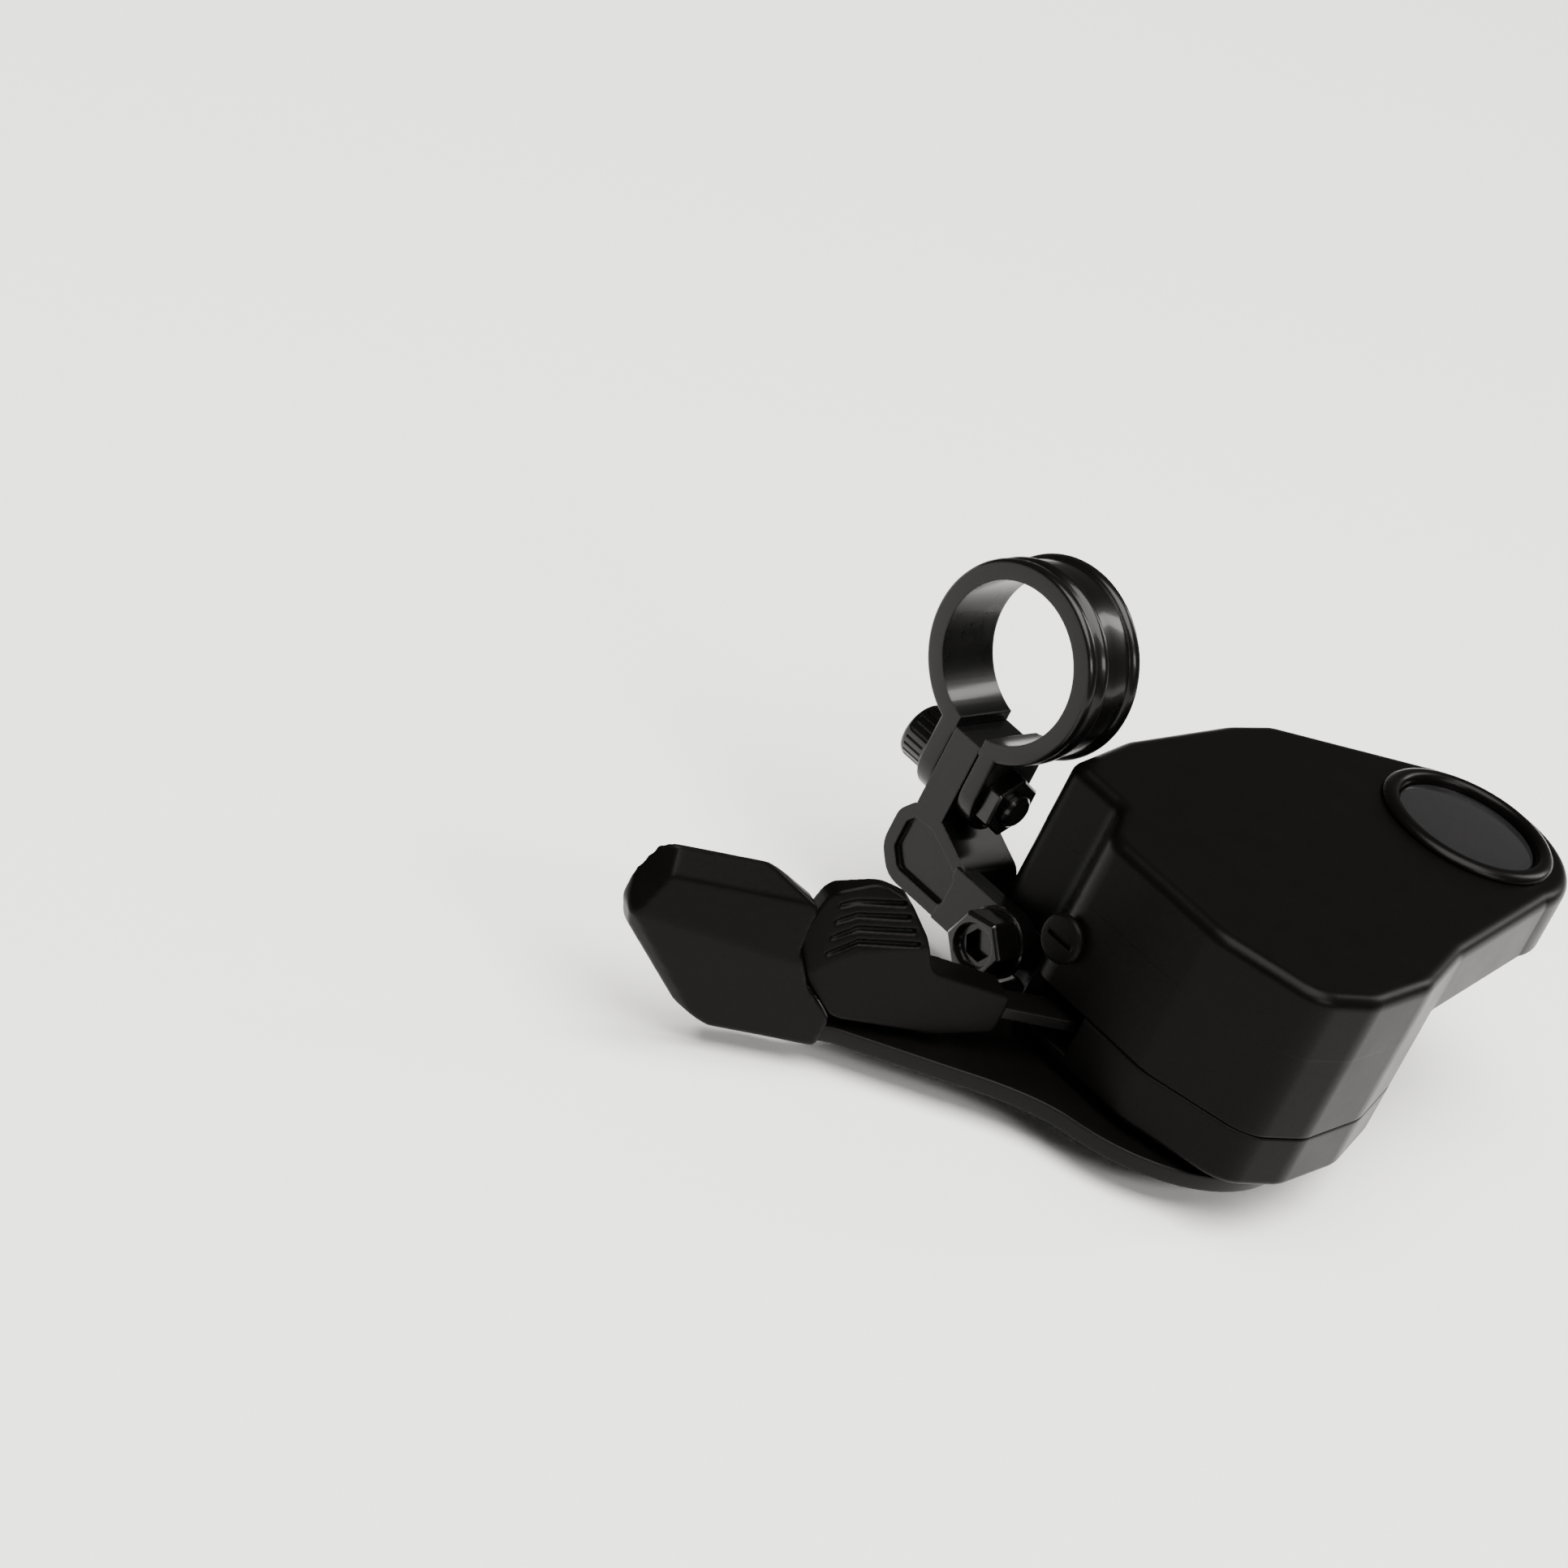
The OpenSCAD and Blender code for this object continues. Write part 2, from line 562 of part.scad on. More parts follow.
module main_plate(grow = 0) {
    at_axle() translate([0, 0, hub_z - grow]) linear_extrude(lever_t + 2 * grow) {
        circle(hub_r + grow);
        rotate(lever_angle) polygon([[hub_r - 9, -hub_r + 6.5], [main_reach - 34, -3.4 - grow],
            [main_reach - 22 + grow, -2.4 - grow], [main_reach - 22 + grow, 2.9 + grow],
            [main_reach - 38, 2.9 + grow], [hub_r - 3.6, 11]]);
    }
}

module main_lever() color("#1e1d1c") {
    difference() {
        main_plate();
        at_axle() disc(axle_r + fit, hub_z - 1, hub_top_z + 1);
    }
}

module main_paddle() color("#232120") {
    difference() {
        union() {
            blade(main_pts, main_blade_t, 2.1);
            blade(heel_pts, 4, -1.9);
            at_axle(lever_angle) prism([[main_reach - 37, -4.6], [main_reach - 20, -3.6],
                [main_reach - 20, 4], [main_reach - 37, 4]], hub_z - 0.7, hub_top_z + 0.8);
        }
        main_plate(0.02);
    }
}

module main_lever_spring() color("#9b9da0") {
    at_axle() wire(helix(sleeve_r + 0.9, release_top_z + 0.7, 0.85, 1.75), 0.4, 6);
}

module release_plate(grow = 0) {
    at_axle() {
        translate([0, 0, release_z - grow]) linear_extrude(plate_t + 2 * grow) {
            circle(sleeve_r + 4);
            rotate(lever_angle) polygon([[0, -3 - grow], [release_reach - 12 + grow, -1.6 - grow],
                [release_reach - 12 + grow, 1.8 + grow], [0, 3 + grow]]);
            rotate(trip_angle) translate([0, -2.2]) square([trip_ring, 4.4]);
            rotate(trip_angle) translate([trip_ring, 0]) circle(2.4);
        }
        rotate([0, 0, trip_angle]) translate([trip_ring, 0, 0]) disc(1.2, release_top_z - 0.5, drum_z);
    }
}

module release_lever() color("#86888b") {
    difference() {
        release_plate();
        at_axle() disc(sleeve_r + fit, release_z - 1, release_top_z + 1);
    }
}

module release_paddle() color("#242221") {
    difference() {
        blade(release_pts, release_blade_t, 0.4);
        release_plate(0.02);
        for (k = [0:3]) at_axle(lever_angle) translate([release_reach - 5 - k * 0.8, 2.9, bottom_z + 17.6 - k * 1.9])
            rotate([0, 16, 0]) cube([12 - k, 0.9, 0.6], center = true);
    }
}

module release_spring() color("#9b9da0") {
    at_axle() wire(helix(sleeve_r + 3.1, floor_top_z + 0.55, 0.8, 1.5), 0.35, 6);
}

module release_spacer() color("#c9c6bd") {
    at_axle() difference() {
        disc(sleeve_r + 1.8, floor_top_z + 0.05, release_z - 0.1);
        disc(sleeve_r + fit, bottom_z, release_z + 1);
    }
}

module barrel_adjuster() color("#191817") {
    x0 = inner_x - 8.3;
    translate([0, cable_y, groove_z]) difference() {
        union() {
            cyl_x(2.5, x0 - 1, inner_x + 1);
            cyl_x(knob_d / 2 - 0.5, x0 - adjuster_len * 0.6, x0 - 0.2);
            for (k = [0:11]) rotate([k * 30, 0, 0]) translate([0, knob_d / 2 - 0.8, 0])
                cyl_x(0.8, x0 - adjuster_len * 0.56, x0 - 1);
            cyl_x(housing_d / 2 + 1.2, x0 - adjuster_len, x0 - 2);
        }
        cyl_x(housing_d / 2, x0 - adjuster_len - 1, x0 - adjuster_len + 9);
        cyl_x(0.9, x0 - adjuster_len, inner_x + 2);
        difference() {
            cyl_x(knob_d / 2 - 1.3, x0 - 2.6, x0);
            cyl_x(2.5, x0 - 3, x0 + 1);
        }
    }
}

module adjuster_spring() color("#9b9da0") {
    translate([inner_x - 8.3 - 2.4, cable_y, groove_z]) rotate([0, 90, 0])
        wire(helix((2.5 + knob_d / 2 - 1.3) / 2, 0.2, 0.9, 2), 0.28, 6);
}

module cable_port_plug() color("#201f1e") {
    translate([side_x - wall, cable_y, groove_z]) difference() {
        union() {
            cyl_x(2.4 - fit, 0, wall + 0.3);
            cyl_x(3.4, wall + 0.3, wall + 1.5);
        }
        translate([wall + 0.9, -2.2, -0.4]) cube([1, 4.4, 0.8]);
    }
}

clamp_band();
clamp_bolt();
clamp_nut();
bracket();
bracket_bolt();
upper_housing();
lower_housing();
housing_screws();
base_plate();
plate_screws();
display_bezel();
display_lens();
dial_plate();
gear_pointer();
display_rack();
main_axle();
axle_washer();
axle_nut();
thrust_washer();
cable_drum();
ratchet_wheel();
drum_spring();
feed_pawl();
feed_pawl_pin();
feed_pawl_spring();
hold_pawl();
hold_pawl_pin();
hold_pawl_spring();
pawl_carrier();
main_lever();
main_paddle();
main_lever_spring();
release_lever();
release_paddle();
release_spring();
release_spacer();
barrel_adjuster();
adjuster_spring();
cable_port_plug();
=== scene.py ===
import json
import math
import bpy
import bmesh
from mathutils import Matrix, Vector


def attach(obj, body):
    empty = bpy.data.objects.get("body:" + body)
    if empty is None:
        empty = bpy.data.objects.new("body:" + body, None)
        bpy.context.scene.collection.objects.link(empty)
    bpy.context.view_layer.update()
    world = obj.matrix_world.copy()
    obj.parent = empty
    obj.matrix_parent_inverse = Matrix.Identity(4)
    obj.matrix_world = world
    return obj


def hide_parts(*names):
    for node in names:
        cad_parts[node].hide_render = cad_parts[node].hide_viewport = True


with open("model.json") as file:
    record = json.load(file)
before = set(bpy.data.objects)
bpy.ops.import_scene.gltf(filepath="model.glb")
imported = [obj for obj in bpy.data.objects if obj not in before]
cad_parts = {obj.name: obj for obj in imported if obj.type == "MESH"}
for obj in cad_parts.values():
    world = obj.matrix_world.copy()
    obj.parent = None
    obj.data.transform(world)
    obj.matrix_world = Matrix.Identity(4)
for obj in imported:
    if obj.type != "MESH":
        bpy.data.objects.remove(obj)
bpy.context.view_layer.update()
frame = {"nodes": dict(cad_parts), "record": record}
nodes = frame["nodes"]
MM = 0.001


def sin(a):
    return math.sin(math.radians(a))


def cos(a):
    return math.cos(math.radians(a))


# ---------------------------------------------------------------- camera, floor and light
right = Vector((-0.6410, 0.6494, 0.4090))
up = Vector((-0.0880, -0.5916, 0.8016))
back = Vector((0.7630, 0.4770, 0.4359))
cam_data = bpy.data.cameras.new("camera")
cam_data.lens = 171.7
cam_data.sensor_width = 36
cam_data.clip_end = 60
camera = bpy.data.objects.new("camera", cam_data)
pose = Matrix.Identity(4)
for i in range(3):
    pose[i][0], pose[i][1], pose[i][2] = right[i], up[i], back[i]
pose.translation = Vector((0.7856, 0.4655, 0.4094))
camera.matrix_world = pose
bpy.context.scene.collection.objects.link(camera)
bpy.context.scene.camera = camera

world = bpy.data.worlds.new("studio")
world.use_nodes = True
world.node_tree.nodes["Background"].inputs[0].default_value = (1.0, 0.985, 0.97, 1)
world.node_tree.nodes["Background"].inputs[1].default_value = 0.17
bpy.context.scene.world = world


def softbox(name, place, aim, size, power, warm=1.0):
    data = bpy.data.lights.new(name, "AREA")
    data.shape = "RECTANGLE"
    data.size, data.size_y = size
    data.energy = power
    data.color = (1.0, 0.98 * warm, 0.95 * warm)
    lamp = bpy.data.objects.new(name, data)
    lamp.location = place
    way = Vector(aim) - Vector(place)
    lamp.rotation_euler = way.to_track_quat("-Z", "Y").to_euler()
    bpy.context.scene.collection.objects.link(lamp)


softbox("overhead", (0.3, 0.4, 1.7), (0, 0, 0), (1.7, 1.7), 116)
softbox("key", (0.2, 1.4, 0.8), (0, 0.03, 0), (0.8, 0.3), 13)
softbox("rim", (-1.5, 0.3, 0.9), (0, 0.03, 0), (0.3, 1.0), 14)


# ---------------------------------------------------------------- materials
def finish_material(name, base, rough, metallic=0.0, specular=0.5, coat=0.0, coat_rough=0.12,
                    grain=1400.0, grain_depth=0.012, mottle=0.18, edge=0.35, lines=None):
    """Moulded or machined surface: mottled colour, uneven gloss, fine grain, softened edges and a painted highlight
    along the edges.
    """
    mat = bpy.data.materials.new(name)
    mat.use_nodes = True
    tree = mat.node_tree
    link = tree.links.new
    shader = tree.nodes["Principled BSDF"]
    shader.inputs["Metallic"].default_value = metallic
    shader.inputs["Specular IOR Level"].default_value = specular
    shader.inputs["Coat Weight"].default_value = coat
    shader.inputs["Coat Roughness"].default_value = coat_rough
    where = tree.nodes.new("ShaderNodeTexCoord")
    cloud = tree.nodes.new("ShaderNodeTexNoise")
    cloud.inputs["Scale"].default_value = 170
    cloud.inputs["Detail"].default_value = 5
    link(where.outputs["Object"], cloud.inputs["Vector"])
    fine = tree.nodes.new("ShaderNodeTexNoise")
    fine.inputs["Scale"].default_value = grain
    fine.inputs["Detail"].default_value = 3
    link(where.outputs["Object"], fine.inputs["Vector"])
    ramp = tree.nodes.new("ShaderNodeValToRGB")
    ramp.color_ramp.elements[0].position = 0.3
    ramp.color_ramp.elements[1].position = 0.72
    ramp.color_ramp.elements[0].color = (*[c * (1 - mottle) for c in base], 1)
    ramp.color_ramp.elements[1].color = (*[min(1, c * (1 + mottle)) for c in base], 1)
    blend = tree.nodes.new("ShaderNodeMath")
    blend.operation = "MULTIPLY_ADD"
    blend.inputs[1].default_value = 0.45
    link(fine.outputs["Fac"], blend.inputs[0])
    half = tree.nodes.new("ShaderNodeMath")
    half.operation = "MULTIPLY"
    half.inputs[1].default_value = 0.55
    link(cloud.outputs["Fac"], half.inputs[0])
    link(half.outputs[0], blend.inputs[2])
    link(blend.outputs[0], ramp.inputs["Fac"])
    # Painted highlight: the very edges are painted a little paler, and their shading is smoother
    soft = tree.nodes.new("ShaderNodeBevel")
    soft.samples = 4
    soft.inputs["Radius"].default_value = edge * MM
    shape = tree.nodes.new("ShaderNodeNewGeometry")
    dot = tree.nodes.new("ShaderNodeVectorMath")
    dot.operation = "DOT_PRODUCT"
    link(soft.outputs["Normal"], dot.inputs[0])
    link(shape.outputs["Normal"], dot.inputs[1])
    # mask of the painted edge highlight: 0 on flat faces, up to 0.5 on the edges
    edge_highlight_mask = tree.nodes.new("ShaderNodeMapRange")
    edge_highlight_mask.inputs["From Min"].default_value = 0.995
    edge_highlight_mask.inputs["From Max"].default_value = 0.8
    edge_highlight_mask.inputs["To Min"].default_value = 0.0
    edge_highlight_mask.inputs["To Max"].default_value = 0.5
    link(dot.outputs["Value"], edge_highlight_mask.inputs["Value"])
    # painted edge highlight: the base colour lifted towards white along the edges
    edge_highlight_tint = tree.nodes.new("ShaderNodeMix")
    edge_highlight_tint.data_type = "RGBA"
    edge_highlight_tint.inputs["B"].default_value = (*[min(1, c * 2.2 + 0.003) for c in base], 1)
    link(edge_highlight_mask.outputs["Result"], edge_highlight_tint.inputs["Factor"])
    link(ramp.outputs["Color"], edge_highlight_tint.inputs["A"])
    link(edge_highlight_tint.outputs["Result"], shader.inputs["Base Color"])
    gloss = tree.nodes.new("ShaderNodeMapRange")
    gloss.inputs["From Min"].default_value = 0.3
    gloss.inputs["From Max"].default_value = 0.7
    gloss.inputs["To Min"].default_value = rough * 0.95
    gloss.inputs["To Max"].default_value = min(1, rough * 1.06)
    link(cloud.outputs["Fac"], gloss.inputs["Value"])
    link(gloss.outputs["Result"], shader.inputs["Roughness"])
    bump = tree.nodes.new("ShaderNodeBump")
    bump.inputs["Strength"].default_value = 1.0
    bump.inputs["Distance"].default_value = grain_depth * MM
    height = fine.outputs["Fac"]
    if lines:
        wave = tree.nodes.new("ShaderNodeTexWave")
        wave.wave_type = "RINGS" if lines == "turned" else "BANDS"
        wave.rings_direction = "Z"
        wave.inputs["Scale"].default_value = 900
        wave.inputs["Distortion"].default_value = 2.0
        link(where.outputs["Object"], wave.inputs["Vector"])
        both = tree.nodes.new("ShaderNodeMath")
        both.operation = "ADD"
        link(wave.outputs["Fac"], both.inputs[0])
        link(fine.outputs["Fac"], both.inputs[1])
        height = both.outputs[0]
    link(height, bump.inputs["Height"])
    link(soft.outputs["Normal"], bump.inputs["Normal"])
    link(bump.outputs["Normal"], shader.inputs["Normal"])
    return mat


mats = {
    "gloss_black_metal": finish_material("gloss_black_metal", (0.0014, 0.0013, 0.0012),
                                         0.28, specular=0.12, coat=0.16,
                                         coat_rough=0.10, grain=700, grain_depth=0.004, edge=0.4),
    "black_fastener_steel": finish_material("black_fastener_steel", (0.0016, 0.0015, 0.0014), 0.24, specular=0.16,
                                            coat=0.3, grain=900, grain_depth=0.006, edge=0.3),
    "housing_plastic": finish_material("housing_plastic", (0.0016, 0.0014, 0.0013), 0.34, specular=0.05,
                                       grain=1500, grain_depth=0.010, edge=0.45),
    "bezel_plastic": finish_material("bezel_plastic", (0.0015, 0.0013, 0.0012), 0.28, specular=0.07,
                                     grain=1500, grain_depth=0.006, edge=0.3),
    "dial_print": finish_material("dial_print", (0.09, 0.088, 0.084), 0.6, grain=2200, grain_depth=0.01,
                                  mottle=0.05, edge=0.1),
    "pointer_plastic": finish_material("pointer_plastic", (0.72, 0.13, 0.03), 0.42, mottle=0.08, edge=0.15),
    "lever_plastic": finish_material("lever_plastic", (0.0016, 0.0014, 0.0013), 0.30, specular=0.045,
                                     grain=1500, grain_depth=0.010, edge=0.4),
    "lever_steel": finish_material("lever_steel", (0.0018, 0.0016, 0.0015), 0.32, specular=0.08, coat=0.03,
                                   grain=1100, grain_depth=0.008, edge=0.35),
    "plated_steel": finish_material("plated_steel", (0.40, 0.40, 0.41), 0.34, metallic=1.0, grain=1600,
                                    grain_depth=0.008, mottle=0.1, edge=0.2, lines="bands"),
    "hardened_steel": finish_material("hardened_steel", (0.26, 0.26, 0.27), 0.40, metallic=1.0, grain=1600,
                                      grain_depth=0.008, mottle=0.12, edge=0.2, lines="bands"),
    "black_screw_steel": finish_material("black_screw_steel", (0.02, 0.019, 0.018), 0.36, metallic=0.7,
                                         grain=1400, grain_depth=0.006, edge=0.2, lines="turned"),
    "acetal": finish_material("acetal", (0.60, 0.585, 0.54), 0.46, grain=1300, grain_depth=0.006,
                              mottle=0.05, edge=0.2),
    "spring_steel": finish_material("spring_steel", (0.40, 0.40, 0.41), 0.28, metallic=1.0, grain=2400,
                                    grain_depth=0.004, mottle=0.08, edge=0.1),
    "adjuster_plastic": finish_material("adjuster_plastic", (0.0018, 0.0016, 0.0015), 0.42, specular=0.06,
                                        grain=1500, grain_depth=0.012, edge=0.3),
    "lens_plastic": finish_material("lens_plastic", (0.05, 0.05, 0.053), 0.06, specular=0.4, grain=600,
                                    grain_depth=0.002, mottle=0.06, edge=0.1),
}
mats["lens_plastic"].node_tree.nodes["Principled BSDF"].inputs["Transmission Weight"].default_value = 0.82
mats["lens_plastic"].node_tree.nodes["Principled BSDF"].inputs["IOR"].default_value = 1.49

slot_of = {entry["node"]: entry["material_slot"] for entry in frame["record"]["subparts"]}
for name, obj in nodes.items():
    obj.data.materials.clear()
    obj.data.materials.append(mats[slot_of[name]])


# ---------------------------------------------------------------- shape helpers, in millimetres
def solid(name, verts, faces):
    mesh = bpy.data.meshes.new(name)
    mesh.from_pydata([tuple(v) for v in verts], [], faces)
    bm = bmesh.new()
    bm.from_mesh(mesh)
    bmesh.ops.recalc_face_normals(bm, faces=bm.faces)
    bm.to_mesh(mesh)
    bm.free()
    obj = bpy.data.objects.new(name, mesh)
    bpy.context.scene.collection.objects.link(obj)
    return obj


def bake(obj):
    bpy.context.view_layer.update()
    fresh = bpy.data.meshes.new_from_object(obj.evaluated_get(bpy.context.evaluated_depsgraph_get()))
    obj.modifiers.clear()
    stale = obj.data
    obj.data = fresh
    bpy.data.meshes.remove(stale)
    return obj


def combine(obj, others, how="DIFFERENCE"):
    for other in others:
        mod = obj.modifiers.new("join", "BOOLEAN")
        mod.operation = how
        mod.solver = "EXACT"
        mod.object = other
    bake(obj)
    for other in others:
        bpy.data.objects.remove(other)
    return obj


def bevel(obj, width, segments=3, angle=28):
    mod = obj.modifiers.new("edge", "BEVEL")
    mod.width = width
    mod.segments = segments
    mod.limit_method = "ANGLE"
    mod.angle_limit = math.radians(angle)
    mod.use_clamp_overlap = True
    return bake(obj)


def piece(obj, body, slot, stands_for=(), sharp=34, weighted=True):
    """Scales a finished millimetre mesh to metres, gives it its finish and hangs it on its body."""
    obj.data.transform(Matrix.Diagonal((MM, MM, MM, 1)))
    for face in obj.data.polygons:
        face.use_smooth = True
    obj.data.set_sharp_from_angle(angle=math.radians(sharp))
    if weighted:
        mod = obj.modifiers.new("normals", "WEIGHTED_NORMAL")
        mod.keep_sharp = True
    obj.data.materials.clear()
    obj.data.materials.append(mats[slot])
    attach(obj, body)
    if stands_for:
        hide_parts(*stands_for)
    return obj


def rounded(pts, radii, n=5):
    out = []
    count = len(pts)
    for i, p in enumerate(pts):
        p = Vector(p)
        radius = radii[i] if isinstance(radii, list) else radii
        if not radius:
            out.append(p)
            continue
        a, b = Vector(pts[i - 1]), Vector(pts[(i + 1) % count])
        u, v = (a - p).normalized(), (b - p).normalized()
        half = math.acos(max(-1, min(1, u.dot(v)))) / 2
        d = min(radius / math.tan(half), 0.45 * min((a - p).length, (b - p).length))
        r = d * math.tan(half)
        c = p + (u + v).normalized() * r / math.sin(half)
        s, e = p + u * d - c, p + v * d - c
        a0 = math.atan2(s.y, s.x)
        turn = (math.atan2(e.y, e.x) - a0 + 3 * math.pi) % (2 * math.pi) - math.pi
        for k in range(n + 1):
            out.append(c + r * Vector((math.cos(a0 + turn * k / n), math.sin(a0 + turn * k / n))))
    return out


def inset(pts, w):
    """Outline drawn in by w on every side."""
    out = []
    count = len(pts)
    for i, p in enumerate(pts):
        p = Vector(p)
        d1 = (p - Vector(pts[i - 1])).normalized()
        d2 = (Vector(pts[(i + 1) % count]) - p).normalized()
        n1, n2 = Vector((-d1.y, d1.x)), Vector((-d2.y, d2.x))
        out.append(p + (n1 + n2) * w / (1 + n1.dot(n2)))
    return out


def stack(name, outline, levels, place=lambda x, y, z: (x, y, z)):
    """Closed body whose outline is drawn in by a different amount at each level."""
    rings = [[place(q.x, q.y, z) for q in (inset(outline, w) if w else [Vector(p) for p in outline])]
             for w, z in levels]
    n = len(outline)
    verts = [v for ring in rings for v in ring]
    faces = [[r * n + i, r * n + (i + 1) % n, (r + 1) * n + (i + 1) % n, (r + 1) * n + i]
             for r in range(len(rings) - 1) for i in range(n)]
    faces.append(list(range(n))[::-1])
    faces.append([(len(rings) - 1) * n + i for i in range(n)])
    return solid(name, verts, faces)


def soft_levels(z0, z1, r0=0.0, r1=0.0, n=5):
    """Levels of a wall from z0 to z1 with a round of r0 at the bottom and r1 at the top."""
    low = [(r0 * (1 - sin(90 * k / n)), z0 + r0 * (1 - cos(90 * k / n))) for k in range(n + 1)] if r0 else [(0, z0)]
    top = [(r1 * (1 - cos(90 * k / n)), z1 - r1 * (1 - sin(90 * k / n))) for k in range(n + 1)] if r1 else [(0, z1)]
    return low + top


def turned(name, profile, n=72, place=lambda x, y, z: (x, y, z)):
    """Body of revolution about the local Z from (radius, z) pairs; closed at the axis or as a ring."""
    ring = profile[0][0] > 1e-6
    verts, faces = [], []
    for r, z in profile:
        if r <= 1e-6:
            verts.append([place(0, 0, z)])
        else:
            verts.append([place(r * cos(360 * k / n), r * sin(360 * k / n), z) for k in range(n)])
    flat, start = [], []
    for row in verts:
        start.append(len(flat))
        flat.extend(row)
    pairs = list(zip(range(len(verts) - 1), range(1, len(verts))))
    if ring:
        pairs.append((len(verts) - 1, 0))
    for a, b in pairs:
        for k in range(n):
            k2 = (k + 1) % n
            if len(verts[a]) == 1:
                faces.append([start[a], start[b] + k, start[b] + k2])
            elif len(verts[b]) == 1:
                faces.append([start[a] + k, start[b], start[a] + k2])
            else:
                faces.append([start[a] + k, start[b] + k, start[b] + k2, start[a] + k2])
    return solid(name, flat, faces)


def about_x(y0, z0):
    return lambda x, y, z: (z, y0 + x, z0 + y)


def about_y(x0, z0):
    return lambda x, y, z: (x0 + y, z, z0 + x)


def about_z(x0, y0):
    return lambda x, y, z: (x0 + x, y0 + y, z)


def hexagon(af, turn=0.0):
    return [Vector((af / math.sqrt(3) * cos(60 * k + turn),
                    af / math.sqrt(3) * sin(60 * k + turn))) for k in range(6)]


def slice_off(obj, a, b, c, keep):
    """Cuts the body along the plane of three points and drops the side away from keep."""
    a, b, c, keep = Vector(a), Vector(b), Vector(c), Vector(keep)
    normal = (b - a).cross(c - a).normalized()
    if normal.dot(keep - a) > 0:
        normal = -normal
    bm = bmesh.new()
    bm.from_mesh(obj.data)
    cut = bmesh.ops.bisect_plane(bm, geom=bm.verts[:] + bm.edges[:] + bm.faces[:], plane_co=a, plane_no=normal,
                                 clear_outer=True)
    edges = [e for e in cut["geom_cut"] if isinstance(e, bmesh.types.BMEdge)]
    bmesh.ops.holes_fill(bm, edges=[e for e in edges if e.is_valid], sides=0)
    bmesh.ops.recalc_face_normals(bm, faces=bm.faces)
    bm.to_mesh(obj.data)
    bm.free()


def melt(obj, voxel, smooth):
    """Turns faceted stock into one moulded skin with soft edges."""
    mod = obj.modifiers.new("skin", "REMESH")
    mod.mode = "VOXEL"
    mod.voxel_size = voxel
    mod = obj.modifiers.new("soft", "SMOOTH")
    mod.factor = 0.5
    mod.iterations = smooth
    bake(obj)
    return obj


# ---------------------------------------------------------------- sizes shared with the CAD frame
bar_r, band_r, band_w = 11.1, 13.3, 11.0
ear_gap, pinch_z = 5.0, -19.0
top_z, split_z, bottom_z = -6.0, -29.0, -37.0
display_floor_z, floor_top_z, groove_z = -16.0, -35.2, -22.0
wall = 1.8
px, py = -5.0, 42.0
dx, dy, lens_r = -59.0, 39.0, 10.4
inner_x, rear_y, front_y, side_x, cheek_x = -42.0, 11.0, 68.5, 11.2, 2.5
cable_y = 31.0
hub_z, hub_top_z, hub_r = -41.0, -38.4, 22.5
bolt_y, bolt_z = 19.0, -32.4
main_reach, release_reach = 87.0, 59.8
lever_angle = -25.0
U = Vector((cos(lever_angle), sin(lever_angle)))
N = Vector((-sin(lever_angle), cos(lever_angle)))


def in_lever(u, n, z):
    return (px + u * U.x + n * N.x, py + u * U.y + n * N.y, z)


# ---------------------------------------------------------------- clamp band
band = turned("band_shell", [
    (bar_r, -5.5), (band_r + 0.35, -5.5), (band_r + 0.62, -5.35), (band_r + 0.7, -5.0), (band_r + 0.62, -4.4),
    (band_r + 0.3, -4.05), (band_r + 0.02, -3.9), (band_r + 0.12, -2.4), (band_r + 0.12, -0.6), (band_r, 0.75),
    (band_r + 0.1, 1.02), (band_r + 0.45, 1.25), (band_r + 0.7, 1.75), (band_r + 0.6, 2.3), (band_r + 0.15, 2.75),
    (band_r - 0.15, 3.1), (band_r - 0.15, 3.5), (band_r + 0.15, 3.8), (band_r + 0.6, 4.1), (band_r + 0.7, 4.6),
    (band_r + 0.5, 5.2), (band_r + 0.1, 5.5), (bar_r, 5.5)], 96, about_x(0, 0))
ears = []
for s in (-1, 1):
    y0, y1 = (2.5, 5.5) if s > 0 else (-5.5, -2.5)
    shape = [Vector((-5.5, -11.6)), *[Vector((5.5 * cos(a), pinch_z + 5.5 * sin(a))) for a in range(180, 361, 12)],
             Vector((5.5, -11.6))]
    ear = stack("ear", [Vector((p.x, p.y)) for p in shape], [(0.45, y0), (0.13, y0 + 0.13), (0, y0 + 0.45),
                (0, y1 - 0.45), (0.13, y1 - 0.13), (0.45, y1)], lambda x, y, z: (x, z, y))
    ears.append(ear)
combine(band, ears, "UNION")
gap = stack("gap", [Vector((-8, -2.5)), Vector((8, -2.5)), Vector((8, 2.5)), Vector((-8, 2.5))], [(0, -30), (0, -9)])
hole = turned("hole", [(0, -9), (2.6, -9), (2.6, 9), (0, 9)], 40, about_y(0, pinch_z))
pocket = stack("pocket", hexagon(8.2), [(0, 4.5), (0, 9)], about_y(0, pinch_z))
bore = turned("bore", [(0, -9), (bar_r, -9), (bar_r, 9), (0, 9)], 96, about_x(0, 0))
combine(band, [gap, hole, pocket, bore])
piece(band, "root", "gloss_black_metal", ["clamp_band"], sharp=40)

